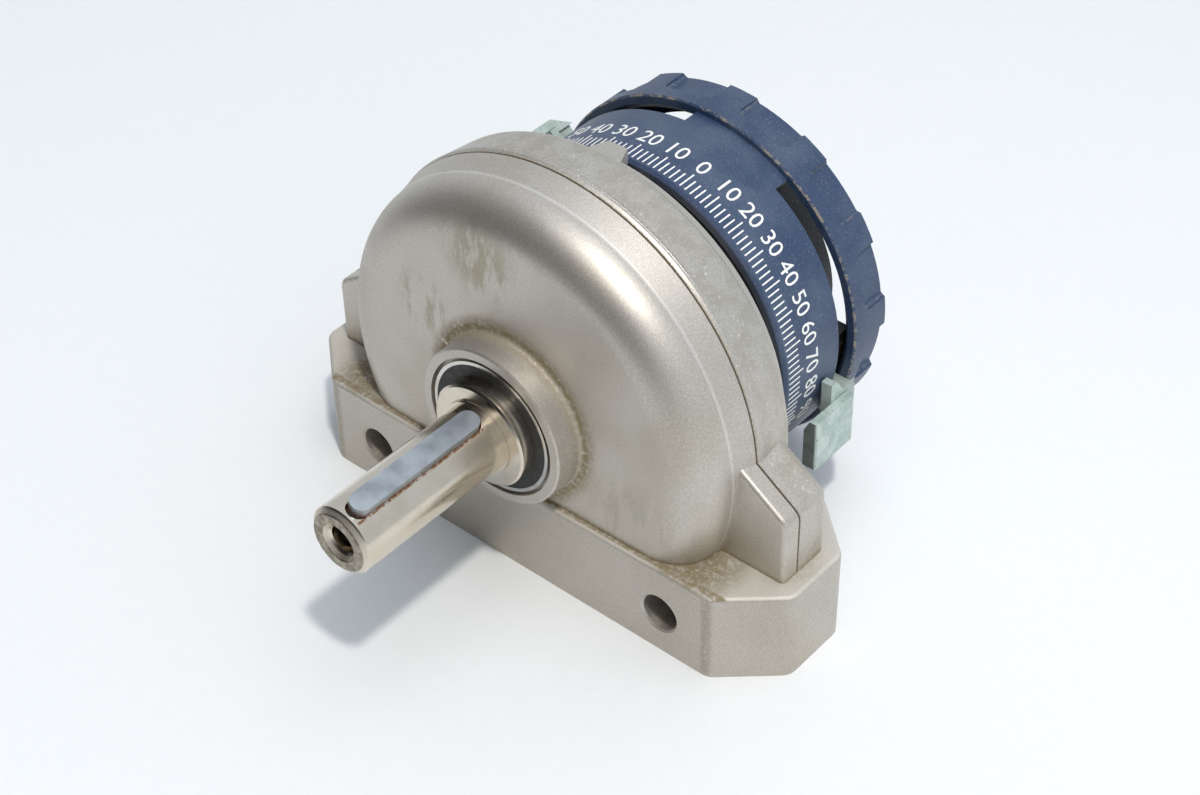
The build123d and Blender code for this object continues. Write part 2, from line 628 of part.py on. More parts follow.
def output_shaft():
    chamfer_y = SHAFT_END_Y + SHAFT_CHAMFER
    body = turned([(0, SHAFT_END_Y), (SHAFT_R - SHAFT_CHAMFER, SHAFT_END_Y), (SHAFT_R, chamfer_y),
                   (SHAFT_R, COLLAR_FRONT_Y - STEP_LENGTH), (STEP_R, COLLAR_FRONT_Y - STEP_LENGTH),
                   (STEP_R, COLLAR_FRONT_Y), (COLLAR_R - COLLAR_CHAMFER, COLLAR_FRONT_Y),
                   (COLLAR_R, COLLAR_FRONT_Y + COLLAR_CHAMFER), (COLLAR_R, BEARING_Y - RUNNING),
                   (INNER_RING_R - RUNNING, BEARING_Y - RUNNING), (INNER_RING_R - RUNNING, BEARING_Y),
                   (JOURNAL_R, BEARING_Y), (JOURNAL_R, REAR_BEARING_END_Y), (TAIL_R, REAR_BEARING_END_Y),
                   (TAIL_R, SHAFT_TAIL_Y - 0.5), (TAIL_R - 0.5, SHAFT_TAIL_Y), (0, SHAFT_TAIL_Y)])
    hole_end_y = SHAFT_END_Y + CENTRE_HOLE_DEPTH
    centre = turned([(0, SHAFT_END_Y - 1), (CENTRE_MOUTH_R, SHAFT_END_Y - 1), (CENTRE_MOUTH_R, SHAFT_END_Y),
                     (CENTRE_RELIEF_R, SHAFT_END_Y + CENTRE_CONE_LENGTH),
                     (CENTRE_RELIEF_R, SHAFT_END_Y + CENTRE_RELIEF_DEPTH),
                     (CENTRE_HOLE_R, SHAFT_END_Y + CENTRE_RELIEF_DEPTH),
                     (CENTRE_HOLE_R, hole_end_y), (0, hole_end_y + CENTRE_HOLE_R / 2)])
    tail_hole = rod(M8["shank"] + SEAT_GAP, SHAFT_TAIL_Y - LEVER_BOLT_LENGTH, SHAFT_TAIL_Y + 1)
    seat_z = SHAFT_R + KEY_PROUD - KEY_HEIGHT
    keyway = feather(KEY_WIDTH, KEY_LENGTH + 2 * KEYWAY_SPARE, key_middle(), seat_z, BIG / 10)
    vane_way = feather(KEY_WIDTH, VANE_KEY_LENGTH, CHAMBER_MID_Y, JOURNAL_R - KEY_HEIGHT + KEY_PROUD, BIG / 10)
    lever_way = block(-KEY_WIDTH / 2, KEY_WIDTH / 2, LEVER_FRONT_Y, SHAFT_TAIL_Y + 1,
                      TAIL_R - KEY_HEIGHT + KEY_PROUD, BIG / 10)
    return body - [centre, tail_hole, keyway, vane_way, lever_way]


def key_middle():
    return KEY_FRONT_Y + KEY_LENGTH / 2


def output_key():
    top = SHAFT_R + KEY_PROUD
    return feather(KEY_WIDTH - 2 * SEAT_GAP, KEY_LENGTH, key_middle(), top - KEY_HEIGHT, top)


def vane_key():
    top = JOURNAL_R + KEY_PROUD
    return feather(KEY_WIDTH - 2 * SEAT_GAP, VANE_KEY_LENGTH - 2 * SEAT_GAP, CHAMBER_MID_Y, top - KEY_HEIGHT, top)


def vane_plate(thickness, inset):
    """A plate across the chamber with its outer corners round, set in from the wall."""
    height = CHAMBER_R - inset
    width = CHAMBER_WIDTH - 2 * inset
    outline = Pos(CHAMBER_MID_Y, height / 2) * Rectangle(width, height)
    corners = [v for v in outline.vertices() if v.Y > 1]
    outline = fillet(corners, CHAMBER_CORNER_R - inset)
    return extrude(Plane.YZ * outline, amount=thickness / 2, both=True)


def hub_key_way(radius, y0, y1):
    return block(-KEY_WIDTH / 2, KEY_WIDTH / 2, y0, y1, 0, radius + KEY_PROUD + SEAT_GAP)


def vane_core():
    hub = sleeve(0, VANE_HUB_R, CHAMBER_FRONT_Y + RUNNING, CHAMBER_REAR_Y - RUNNING)
    plate = vane_plate(VANE_THICKNESS, VANE_INSET)
    rim = vane_plate(VANE_SEAL_THICKNESS, -1) - vane_plate(VANE_SEAL_THICKNESS + 1, VANE_SEAL_DEPTH)
    core = plate - (rim & block(-BIG, BIG, -BIG, BIG, VANE_HUB_R, BIG)) + hub
    cuts = [rod(JOURNAL_R + SEAT_GAP, 0, REAR_BEARING_Y),
            hub_key_way(JOURNAL_R, CHAMBER_FRONT_Y, CHAMBER_REAR_Y)]
    return core - cuts


def vane_seal():
    half = VANE_SEAL_THICKNESS / 2 - SEAT_GAP
    frame = swept_room(RUNNING, 30) & block(-half, half, -BIG, BIG, VANE_HUB_R + SEAT_GAP, BIG)
    return frame - vane_plate(VANE_SEAL_THICKNESS + 1, VANE_SEAL_DEPTH - SEAT_GAP)


def spacer_sleeve():
    return sleeve(TAIL_R + SEAT_GAP, INNER_RING_R, REAR_BEARING_END_Y, LEVER_FRONT_Y)


def stop_lever():
    hub = turned([(TAIL_R + SEAT_GAP, LEVER_FRONT_Y), (LEVER_HUB_R - 1, LEVER_FRONT_Y),
                  (LEVER_HUB_R, LEVER_FRONT_Y + 1), (LEVER_HUB_R, LEVER_REAR_Y - 0.8),
                  (LEVER_HUB_R - 0.8, LEVER_REAR_Y), (LEVER_CUP_R, LEVER_REAR_Y),
                  (LEVER_CUP_R, LEVER_CUP_Y), (TAIL_R + SEAT_GAP, LEVER_CUP_Y)])
    arm = sector(LEVER_CUP_R + 1, LEVER_ARM_R, LEVER_ARM_FRONT_Y, LEVER_ARM_REAR_Y,
                 -LEVER_HALF_ANGLE, LEVER_HALF_ANGLE)
    return hub + arm - hub_key_way(TAIL_R, LEVER_FRONT_Y - 1, LEVER_CUP_Y + 1)


def lever_key():
    top = TAIL_R + KEY_PROUD
    start = SHAFT_TAIL_Y - LEVER_KEY_LENGTH
    half = KEY_WIDTH / 2 - SEAT_GAP
    return block(-half, half, start, SHAFT_TAIL_Y, top - KEY_HEIGHT, top)


def lever_washer():
    return sleeve(M8["shank"] + HOLE_CLEARANCE, WASHER_R, LEVER_CUP_Y, LEVER_CUP_Y + WASHER_THICKNESS)


def lever_bolt():
    head_y = LEVER_CUP_Y + WASHER_THICKNESS
    length = head_y - SHAFT_TAIL_Y + LEVER_BOLT_LENGTH - BLIND_SPARE
    return along_y(socket_screw(M8, length), 0, head_y, 0)


def slot_between(angle0, angle1):
    """The slot between drum and ring, with a chamfer inside the ring's front edge."""
    land_r = RING_BORE_R + RING_FRONT_LAND
    inside = DRUM_BORE_R - DRUM_WALL
    outside = RING_R + DRUM_WALL
    return turned_between([(inside, SLOT_FRONT_Y), (outside, SLOT_FRONT_Y), (outside, SLOT_REAR_Y),
                           (land_r, SLOT_REAR_Y), (RING_BORE_R, SLOT_REAR_Y + RING_FRONT_LAND),
                           (inside, SLOT_REAR_Y + RING_FRONT_LAND)], angle0, angle1)


def grip_pocket():
    """A shallow pocket between two grips, round in its front corners and open to the rear."""
    floor_r = RING_R - GRIP_DEPTH
    cutter = sector(floor_r, RING_R + 1, GRIP_START_Y, RING_REAR_Y + 1, -GRIP_HALF_ANGLE, GRIP_HALF_ANGLE)
    corners = [e for e in cutter.edges()
               if e.bounding_box().max.Y < GRIP_START_Y + 0.01 and e.bounding_box().size.Z > GRIP_DEPTH]
    cutter = fillet(corners, GRIP_CORNER_R)
    floor_edges = [e for e in cutter.edges()
                   if abs(sqrt(e.center().X ** 2 + e.center().Z ** 2) - floor_r) < 0.2
                   and e.center().Y < RING_REAR_Y + 0.9]
    return chamfer(floor_edges, GRIP_EDGE)


def scale_drum():
    """The drum, the webs across the slot and the scalloped ring, in one moulding."""
    front_r = DRUM_R - DRUM_CHAMFER_R
    disc_rear = PILLAR_END_Y + DISC_THICKNESS
    hub_r = REAR_BOSS_R + RUNNING
    flange_y = RING_REAR_Y - RING_FLANGE_THICKNESS
    drum = turned([(hub_r, PILLAR_END_Y), (DRUM_BORE_R, PILLAR_END_Y),
                   (DRUM_BORE_R, DRUM_FRONT_Y), (front_r, DRUM_FRONT_Y),
                   (DRUM_R, DRUM_FRONT_Y + DRUM_CHAMFER_Y), (DRUM_R, SLOT_REAR_Y),
                   (RING_R - RING_EDGE, SLOT_REAR_Y), (RING_R, SLOT_REAR_Y + RING_EDGE),
                   (RING_R, RING_REAR_Y - RING_EDGE), (RING_R - RING_EDGE, RING_REAR_Y),
                   (RING_FLANGE_R, RING_REAR_Y), (RING_FLANGE_R, flange_y), (RING_BORE_R, flange_y),
                   (RING_BORE_R, SLOT_REAR_Y), (DRUM_BORE_R, SLOT_REAR_Y),
                   (DRUM_BORE_R, disc_rear), (hub_r, disc_rear)])
    cuts = [bore_y(M4["shank"] + HOLE_CLEARANCE, x, z, PILLAR_END_Y - 1, disc_rear + 1)
            for x, z in pillar_places()]
    web_step = 360 / WEB_COUNT
    for i in range(WEB_COUNT):
        start = SCALE_ZERO_ANGLE + i * web_step + WEB_HALF_ANGLE
        cuts.append(slot_between(start, start + web_step - 2 * WEB_HALF_ANGLE))
    pocket = grip_pocket()
    first = SCALE_ZERO_ANGLE + GRIP_OFFSET_ANGLE
    cuts += [at(first + i * 360 / GRIP_COUNT, pocket) for i in range(GRIP_COUNT)]
    return drum - cuts


def drum_screws():
    head_y = PILLAR_END_Y + DISC_THICKNESS
    length = DISC_THICKNESS + DRUM_SCREW_LENGTH - BLIND_SPARE / 2
    return parts_of([along_y(socket_screw(M4, length), x, head_y, z) for x, z in pillar_places()])


def placed_stop(side, shape):
    """Turns a stop piece to its place: made pointing up and trailing to the right."""
    if side > 0:
        return at(RIGHT_STOP_ANGLE, shape)
    return at(LEFT_STOP_ANGLE, mirror(shape, about=Plane.YZ))


def stop_bar():
    """The flat bar over the drum, its rear slanted down to the slot."""
    side = Plane.YZ * make_face(Polyline(
        (STOP_FRONT_Y, STOP_INNER_R), (STOP_FRONT_Y, STOP_OUTER_R - STOP_CHAMFER),
        (STOP_FRONT_Y + STOP_CHAMFER, STOP_OUTER_R), (STOP_SLANT_Y, STOP_OUTER_R),
        (TONGUE_REAR_Y, RING_R + LOOSE), (TONGUE_REAR_Y, STOP_INNER_R), close=True))
    bar = Pos(STOP_START, 0, 0) * extrude(side, amount=STOP_END - STOP_START)
    corner = make_face(Polyline((STOP_START - 1, STOP_INNER_R - 1),
                                (STOP_START + STOP_CORNER_LENGTH, STOP_INNER_R - 1),
                                (STOP_START + STOP_CORNER_LENGTH, STOP_INNER_R),
                                (STOP_START, STOP_INNER_R + STOP_CORNER_HEIGHT),
                                (STOP_START - 1, STOP_INNER_R + STOP_CORNER_HEIGHT), close=True))
    return bar - prism_y(corner, STOP_FRONT_Y - 1, STOP_SLANT_Y)


def stop_block():
    """The bar with its foot beside the slot and the tongue that goes down into the slot."""
    foot_bottom = DRUM_R + LOOSE
    outline = make_face(Polyline((STOP_FOOT_TIP, STOP_FOOT_FRONT_Y), (STOP_SCREW_OFFSET, STOP_FOOT_FRONT_Y),
                                 (STOP_SCREW_OFFSET, TONGUE_FRONT_Y), (TONGUE_START, TONGUE_FRONT_Y),
                                 (STOP_FOOT_TIP, STOP_FOOT_TIP_Y), close=True))
    foot = extrude(Pos(0, 0, foot_bottom) * outline, amount=STOP_FOOT_HEIGHT)
    tongue = block(TONGUE_START, TONGUE_END, TONGUE_FRONT_Y, TONGUE_REAR_Y, NUT_INNER_R, STOP_INNER_R + LOOSE)
    tongue = tongue - rod(DRUM_BORE_R, SLOT_FRONT_Y, SLOT_REAR_Y)
    thread = post(M2_5["shank"] + SEAT_GAP, STOP_SCREW_OFFSET, stop_screw_y(), NUT_INNER_R,
                  STOP_INNER_R + STOP_SCREW_TOP_SPARE)
    return stop_bar() + foot + tongue - thread


def stop_screw_y():
    return (SLOT_FRONT_Y + SLOT_REAR_Y) / 2


def stop_nut():
    """The clamp plate behind the slot, pulled out against the bores of drum and ring."""
    raw = block(STOP_BUFFER_THICKNESS, NUT_END, NUT_FRONT_Y, NUT_REAR_Y, NUT_INNER_R, NUT_OUTER_R)
    raw = raw & sleeve(0, NUT_OUTER_R, NUT_FRONT_Y, NUT_REAR_Y)
    hole = post(M2_5["shank"] + HOLE_CLEARANCE, STOP_SCREW_OFFSET, stop_screw_y(), NUT_INNER_R - 1, BIG)
    return raw - hole


def stop_buffer():
    """The rubber pad on the leading side of the clamp plate, which the lever meets."""
    seat = NUT_OUTER_R - LOOSE
    raw = block(0, STOP_BUFFER_THICKNESS, NUT_FRONT_Y + 1, NUT_REAR_Y - 1, NUT_INNER_R, seat)
    return raw & sleeve(0, seat, NUT_FRONT_Y, NUT_REAR_Y)


def stop_screw():
    """The low-head screw that pulls the bar and the clamp plate together from the inside."""
    length = STOP_INNER_R - NUT_INNER_R
    screw = Rot(180, 0, 0) * socket_screw(M2_5, length)
    return Pos(STOP_SCREW_OFFSET, stop_screw_y(), NUT_INNER_R) * screw


def rotor(shape):
    return at(ROTOR_ANGLE, shape)


front_seal_y = BEARING_Y + BEARING_WIDTH + THROAT_LENGTH
nodes = {
    "foot_base": foot_base(),
    "foot_screws": foot_screws(),
    "front_housing": front_housing(),
    "rear_housing": rear_housing(),
    "housing_gasket": housing_gasket(),
    "housing_screws": housing_screws(),
    "dowel_pins": dowel_pins(),
    "front_bearing_outer_ring": outer_ring(BEARING_Y),
    "front_bearing_inner_ring": inner_ring(BEARING_Y),
    "front_bearing_balls": bearing_balls(BEARING_Y),
    "front_bearing_cage": bearing_cage(BEARING_Y),
    "front_bearing_seals": bearing_seals(BEARING_Y),
    "rear_bearing_outer_ring": outer_ring(REAR_BEARING_Y),
    "rear_bearing_inner_ring": inner_ring(REAR_BEARING_Y),
    "rear_bearing_balls": bearing_balls(REAR_BEARING_Y),
    "rear_bearing_cage": bearing_cage(REAR_BEARING_Y),
    "rear_bearing_seals": bearing_seals(REAR_BEARING_Y),
    "bearing_snap_ring": snap_ring(),
    "front_shaft_seal": shaft_seal(front_seal_y + SEAT_GAP, CHAMBER_FRONT_Y - SEAT_GAP),
    "rear_shaft_seal": shaft_seal(CHAMBER_REAR_Y + SEAT_GAP, REAR_BEARING_Y - THROAT_LENGTH - SEAT_GAP),
    "stator_seal": stator_seal(),
    "scale_drum": scale_drum(),
    "drum_screws": drum_screws(),
    "output_shaft": rotor(output_shaft()),
    "output_key": rotor(output_key()),
    "vane_core": rotor(vane_core()),
    "vane_seal": rotor(vane_seal()),
    "vane_key": rotor(vane_key()),
    "spacer_sleeve": spacer_sleeve(),
    "stop_lever": rotor(stop_lever()),
    "lever_key": rotor(lever_key()),
    "lever_washer": lever_washer(),
    "lever_bolt": lever_bolt(),
}
for side, word in ((-1, "left"), (1, "right")):
    nodes[word + "_stop_block"] = placed_stop(side, stop_block())
    nodes[word + "_stop_nut"] = placed_stop(side, stop_nut())
    nodes[word + "_stop_buffer"] = placed_stop(side, stop_buffer())
    nodes[word + "_stop_screw"] = placed_stop(side, stop_screw())

for name, shape in nodes.items():
    export_step(shape, "parts/" + name + ".step")
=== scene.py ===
# %% [markdown]
# # A pneumatic rotary actuator
# The part is a small vane motor: compressed air turns a shaft through part of a turn. Its mechanical
# pieces come ready made from the CAD model. This lesson gives each of them the finish that the real
# one has, and adds the small things that CAD leaves out: the printed scale, the dirt, the seam bead.

# %% Load the frame
import math
from functools import reduce
import bmesh
import bpy
from mathutils import Matrix, Vector


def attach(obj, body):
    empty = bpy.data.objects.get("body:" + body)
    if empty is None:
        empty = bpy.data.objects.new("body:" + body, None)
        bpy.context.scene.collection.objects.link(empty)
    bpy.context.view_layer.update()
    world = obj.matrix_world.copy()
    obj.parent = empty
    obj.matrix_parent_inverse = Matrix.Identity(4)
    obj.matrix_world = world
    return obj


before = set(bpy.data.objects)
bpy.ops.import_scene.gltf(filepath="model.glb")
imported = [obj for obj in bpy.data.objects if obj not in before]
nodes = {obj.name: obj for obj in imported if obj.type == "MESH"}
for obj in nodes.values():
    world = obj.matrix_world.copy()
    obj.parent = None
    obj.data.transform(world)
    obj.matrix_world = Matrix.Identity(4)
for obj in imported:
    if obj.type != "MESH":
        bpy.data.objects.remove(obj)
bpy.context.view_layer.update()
MM = 0.001
ZERO_ANGLE = 15.5
print("nodes:", len(nodes))

# %% [markdown]
# ## Camera
# A photograph is matched by giving the camera the place and the lens that took it. The three columns
# of its matrix are its right, its up and its back, worked out from the direction it looks from.

# %% Camera
AZIMUTH = math.radians(41.104)
ELEVATION = math.radians(40.882)
ROLL = math.radians(-1.105)
CAMERA_PLACE = Vector((261.4, -264.17, 328.87)) * MM
SENSOR_WIDTH = 36
FOCAL_LENGTH = 70.73


def camera_matrix(azimuth, elevation, roll, place):
    """The camera's turn and place as one matrix."""
    back = Vector((math.sin(azimuth) * math.cos(elevation), -math.cos(azimuth) * math.cos(elevation),
                   math.sin(elevation)))
    right = Vector((math.cos(azimuth), math.sin(azimuth), 0))
    up = back.cross(right)
    turned_right = right * math.cos(roll) + up * math.sin(roll)
    turned_up = up * math.cos(roll) - right * math.sin(roll)
    columns = Matrix((turned_right, turned_up, back)).transposed()
    return Matrix.Translation(place) @ columns.to_4x4()


lens = bpy.data.cameras.new("camera")
lens.sensor_width = SENSOR_WIDTH
lens.lens = FOCAL_LENGTH
camera = bpy.data.objects.new("camera", lens)
bpy.context.collection.objects.link(camera)
camera.matrix_world = camera_matrix(AZIMUTH, ELEVATION, ROLL, CAMERA_PLACE)
bpy.context.scene.camera = camera
print("camera looks along", [round(v, 3) for v in -camera.matrix_world.col[2].to_3d()])

# %% [markdown]
# ## Colours and nodes
# Colours are easiest to read as the hex values that a screen shows, but shaders add light, so they
# need linear values. One function turns one into the other. A second one adds a node to a material,
# with its settings and its links, so that each material below reads as a short recipe.

# %% Colour and node helpers


def linear(code):
    """A screen colour such as "#A0B0C0" as linear values with full opacity."""
    parts = [int(code[i:i + 2], 16) / 255 for i in (1, 3, 5)]
    return [p / 12.92 if p <= 0.04045 else ((p + 0.055) / 1.055) ** 2.4 for p in parts] + [1]


def add(tree, kind, links=None, **settings):
    """Adds a node. Inputs are named or numbered in links; the rest are its settings."""
    node = tree.nodes.new("ShaderNode" + kind)
    values = settings.pop("values", {})
    for name, value in settings.items():
        setattr(node, name, value)
    for key, value in values.items():
        node.inputs[key].default_value = value
    for key, source in (links or {}).items():
        tree.links.new(source, node.inputs[key])
    return node


def feed(tree, node, socket, source):
    """Gives an input its value: a number, a hex colour, or another node's output."""
    if isinstance(source, (int, float)):
        node.inputs[socket].default_value = source
    elif isinstance(source, str):
        node.inputs[socket].default_value = linear(source)
    else:
        tree.links.new(source, node.inputs[socket])


def material(name, colour, metallic, roughness):
    """A new material with its shader and the coordinates of the piece, in metres."""
    new = bpy.data.materials.new(name)
    new.use_nodes = True
    tree = new.node_tree
    shader = tree.nodes["Principled BSDF"]
    feed(tree, shader, "Base Color", colour)
    feed(tree, shader, "Metallic", metallic)
    feed(tree, shader, "Roughness", roughness)
    return new, tree, shader, add(tree, "TexCoord").outputs["Object"]


def noise(tree, place, size_mm, detail=3.0, roughness=0.55, stretch=None):
    """Noise whose blotches are about size_mm across, longer along some axes if stretched."""
    if stretch:
        place = add(tree, "Mapping", {0: place}, values={"Scale": stretch}).outputs[0]
    texture = add(tree, "TexNoise", {"Vector": place},
                  values={"Scale": 1 / (size_mm * MM), "Detail": detail, "Roughness": roughness})
    return texture.outputs["Fac"]


def ramp(tree, value, low, high, start=0.0, end=1.0):
    """Maps low..high to start..end, with soft ends, and holds it outside."""
    node = add(tree, "MapRange", {"Value": value}, interpolation_type="SMOOTHSTEP",
               values={"From Min": low, "From Max": high, "To Min": start, "To Max": end})
    return node.outputs["Result"]


def maths(tree, operation, *terms):
    """One sum on values, each a number or another node's output."""
    node = add(tree, "Math", operation=operation)
    for i, term in enumerate(terms):
        feed(tree, node, i, term)
    return node.outputs[0]


def mix(tree, factor, first, second):
    """Blends two colours, each a hex code or another node's output."""
    node = add(tree, "Mix", data_type="RGBA")
    for socket, source in ((0, factor), (6, first), (7, second)):
        feed(tree, node, socket, source)
    return node.outputs[2]


def bump(tree, shader, height, depth_mm, strength):
    """Lets the surface look raised where height is large."""
    node = add(tree, "Bump", {"Height": height}, values={"Strength": strength, "Distance": depth_mm * MM})
    feed(tree, shader, "Normal", node.outputs[0])


print("colour #808080 as linear values:", [round(v, 3) for v in linear("#808080")])

# %% [markdown]
# ## Masks
# Dirt, rust and wear have their places. A mask is a value that is one in such a place and nought
# elsewhere. It is worked out from the coordinates of the piece: a band between two lengths, a round
# spot, or a distance from the shaft. The lengths given to masks are in millimetres.

# %% Mask helpers


def product(tree, *terms):
    """Several masks together: strong only where each of them is."""
    return reduce(lambda result, term: maths(tree, "MULTIPLY", result, term), terms)


def strongest(tree, *terms):
    """Any of several masks: as strong as the strongest of them."""
    return reduce(lambda result, term: maths(tree, "MAXIMUM", result, term), terms)


def above(tree, value, low, high):
    """Nought up to low, rising to one at high."""
    return ramp(tree, value, low * MM, high * MM)


def below(tree, value, low, high, most=1.0):
    """The most up to low, falling to nought at high."""
    return ramp(tree, value, low * MM, high * MM, most, 0.0)


def within(tree, value, low, high, soft):
    """One between low and high, falling to nought over a soft edge."""
    return product(tree, above(tree, value, low - soft, low), below(tree, value, high, high + soft))


def axes_of(tree, place):
    """The coordinates of the piece: across, along the shaft, and up."""
    return tuple(add(tree, "SeparateXYZ", {0: place}).outputs)


def diagonal(tree, first, second):
    """How far it is to a point that lies first along one axis and second along another."""
    return maths(tree, "SQRT", maths(tree, "ADD", maths(tree, "MULTIPLY", first, first),
                                     maths(tree, "MULTIPLY", second, second)))


def spot(tree, axes, first, second, size):
    """A soft round patch around a point in the plane of two axes."""
    ways = [maths(tree, "SUBTRACT", axis, middle * MM) for axis, middle in zip(axes, (first, second))]
    return below(tree, diagonal(tree, *ways), 0.25 * size, size)


def named(*words):
    """The CAD nodes that have one of some words in their names."""
    return [name for name in nodes if any(word in name for word in words)]


def wear(names, new):
    """Gives a material to CAD nodes, through the material slots of their objects."""
    for name in names:
        for slot in nodes[name].material_slots:
            slot.material = new
    print(new.name, "on", len(names), "nodes")


print("nodes with a key:", named("_key"))

# %% [markdown]
# ## The castings
# The body and the foot are pressure die castings with a satin plating that looks like nickel. The
# plating is warm grey and even, and the blasted skin under it gives a sand-fine grain. Handling has
# left brown dirt in the hollows: around the root of the boss and along the joint with the foot.
# Each casting has its own dirt, its own stains, and some of them white dust and a pale film.

# %% Where the castings are dirty
FOOT_TOP_Z = -20.3
BOSS_ROOT_R = (19.9, 21.1)
BOSS_ROOT_Y = (5.0, 7.2)
BOSS_HALO_R = (19.3, 21.4)
BOSS_HALO_FROM_Y = (3.4, 6.0)
DOME_STAINS = ((-6.6, 36.0, 13.5), (-24.0, 17.0, 11.0))
LOW_STAIN = (33.0, -13.0, 16.0)
SEAM_Y = (23.3, 23.6)
GROOVE_R = (46.4, 48.0)
GROOVE_Y = (37.0, 38.2)
RIM_STAIN_Y = (27.0, 34.0)
RIM_DUST_Y = (24.2, 30.0)
FOOT_CREASES = ((46.5, 12.5, 13.0), (-49.0, 13.0, 11.0))
FOOT_CORNER = (62.0, 25.0, 9.0)
FOOT_LINE_Y = (6.4, 7.6)
FOOT_EDGE_X = (53.6, 54.6)
FOOT_EDGE_Z = (-42.0, -22.0)


def near_foot_top(tree, up, reach):
    """Dirt in the crease where a piece rises from the foot's top face."""
    return below(tree, up, FOOT_TOP_Z, FOOT_TOP_Z + reach)


def front_dirt(tree, across, along, up):
    """An olive line around the root of the boss, with a halo, and stains on the dome."""
    radius = diagonal(tree, across, up)
    root = product(tree, within(tree, radius, *BOSS_ROOT_R, 0.6), within(tree, along, *BOSS_ROOT_Y, 0.8))
    halo = product(tree, within(tree, radius, *BOSS_HALO_R, 2.8), above(tree, along, *BOSS_HALO_FROM_Y), 0.6)
    dirt = strongest(tree, root, halo, near_foot_top(tree, up, 1.5))
    low = product(tree, spot(tree, (across, up), *LOW_STAIN), 0.45)
    stain = strongest(tree, *[spot(tree, (across, up), *middle) for middle in DOME_STAINS], low)
    return dirt, stain, 0.0, 0.0


def rear_dirt(tree, across, along, up):
    """Dirt in the parting seam and in the groove behind it, and stains and white dust on the rim."""
    radius = diagonal(tree, across, up)
    seam = product(tree, within(tree, along, *SEAM_Y, 0.2), 0.6)
    groove = product(tree, within(tree, along, *GROOVE_Y, 0.3), within(tree, radius, *GROOVE_R, 0.4), 0.8)
    dirt = strongest(tree, seam, groove, near_foot_top(tree, up, 2.0))
    stain = product(tree, within(tree, along, *RIM_STAIN_Y, 3.0), 0.35)
    dust = product(tree, within(tree, along, *RIM_DUST_Y, 2.0), 0.7)
    return dirt, stain, dust, 0.0


def foot_dirt(tree, across, along, up):
    """Brown soil in the creases of the top face, and a little along the edges of the corners."""
    top = within(tree, up, FOOT_TOP_Z - 0.4, FOOT_TOP_Z + 1, 0.2)
    crease = strongest(tree, *[spot(tree, (across, along), *middle) for middle in FOOT_CREASES])
    corner = product(tree, spot(tree, (across, along), *FOOT_CORNER), 0.35)
    soil = product(tree, top, strongest(tree, crease, corner, within(tree, along, *FOOT_LINE_Y, 0.7)))
    side = maths(tree, "ABSOLUTE", across)
    edge = product(tree, within(tree, up, *FOOT_EDGE_Z, 2.0), within(tree, side, *FOOT_EDGE_X, 1.2), 0.35)
    stain = product(tree, top, crease, 0.7)
    return strongest(tree, soil, edge), stain, product(tree, top, 0.3), product(tree, top, 0.5)


print("stains on the dome:", len(DOME_STAINS))

# %% Die-cast housing material
PLATED_METALLIC = 0.78
RIDGE_HIGHLIGHT_R = (51.35, 51.6)
RIDGE_HIGHLIGHT_Y = (16.7, 17.2)
BEAD_Y = (25.0, 25.3)
BEAD_FADES_X = (20, 42)


def die_casting(name, colour, dirt_of, soil="#8F815B"):
    """Plated aluminium die casting: satin metal with a fine grain, and the dirt that it has."""
    new, tree, shader, place = material(name, colour, PLATED_METALLIC, 0.3)
    across, along, up = axes_of(tree, place)
    cloud = noise(tree, place, 24, 3)
    grain = noise(tree, place, 0.35, 2, 0.6)
    speck = noise(tree, place, 1.1, 4, 0.7)
    powder = noise(tree, place, 0.8, 3, 0.75)
    streak = noise(tree, place, 5.5, 5, 0.65, stretch=(1.4, 1.0, 0.45))
    dirt, stain, dust, film = dirt_of(tree, across, along, up)
    # The plating is a little yellower where it was touched, and the grain darkens it in tiny dots.
    shade = mix(tree, ramp(tree, cloud, 0.40, 0.70, 0.0, 0.35), colour, "#BDB3A0")
    shade = mix(tree, ramp(tree, grain, 0.35, 0.70, 0.30, 0.0), shade, "#7B766E")
    # Painted highlight: the ridge where the round edge of the dome meets the rim is lightened, standing in
    # for the bright line of light along it.
    ridge_highlight = product(tree, within(tree, diagonal(tree, across, up), *RIDGE_HIGHLIGHT_R, 0.1),
                    within(tree, along, *RIDGE_HIGHLIGHT_Y, 0.25), 0.28)
    shade = mix(tree, ridge_highlight, shade, "#FBF8F2")
    # Film, stains, soil and dust lie over the metal in this order.
    shade = mix(tree, film, shade, "#DEDAD1")
    shade = mix(tree, product(tree, stain, ramp(tree, streak, 0.43, 0.58, 0.0, 0.6)), shade, "#8E8768")
    broken = product(tree, dirt, ramp(tree, speck, 0.30, 0.54))
    shade = mix(tree, product(tree, broken, 0.85), shade, soil)
    white = product(tree, dust, ramp(tree, powder, 0.60, 0.68))
    shade = mix(tree, white, shade, "#E4E0D6")
    feed(tree, shader, "Base Color", shade)
    # What lies on the metal hides its shine.
    covered = strongest(tree, broken, white, film)
    feed(tree, shader, "Metallic", maths(tree, "SUBTRACT", PLATED_METALLIC, product(tree, covered, 0.6)))
    rough = maths(tree, "ADD", ramp(tree, cloud, 0.3, 0.7, 0.42, 0.50), product(tree, covered, 0.35))
    feed(tree, shader, "Roughness", rough)
    # The mould's joint left a rough bead behind the parting line, fading out to the right.
    bead = product(tree, within(tree, along, *BEAD_Y, 0.25), below(tree, across, *BEAD_FADES_X),
                   ramp(tree, powder, 0.3, 0.6, 3.0, 13.0))
    height = maths(tree, "ADD", maths(tree, "ADD", grain, product(tree, covered, 1.5)), bead)
    bump(tree, shader, height, 0.035, 0.65)
    return new


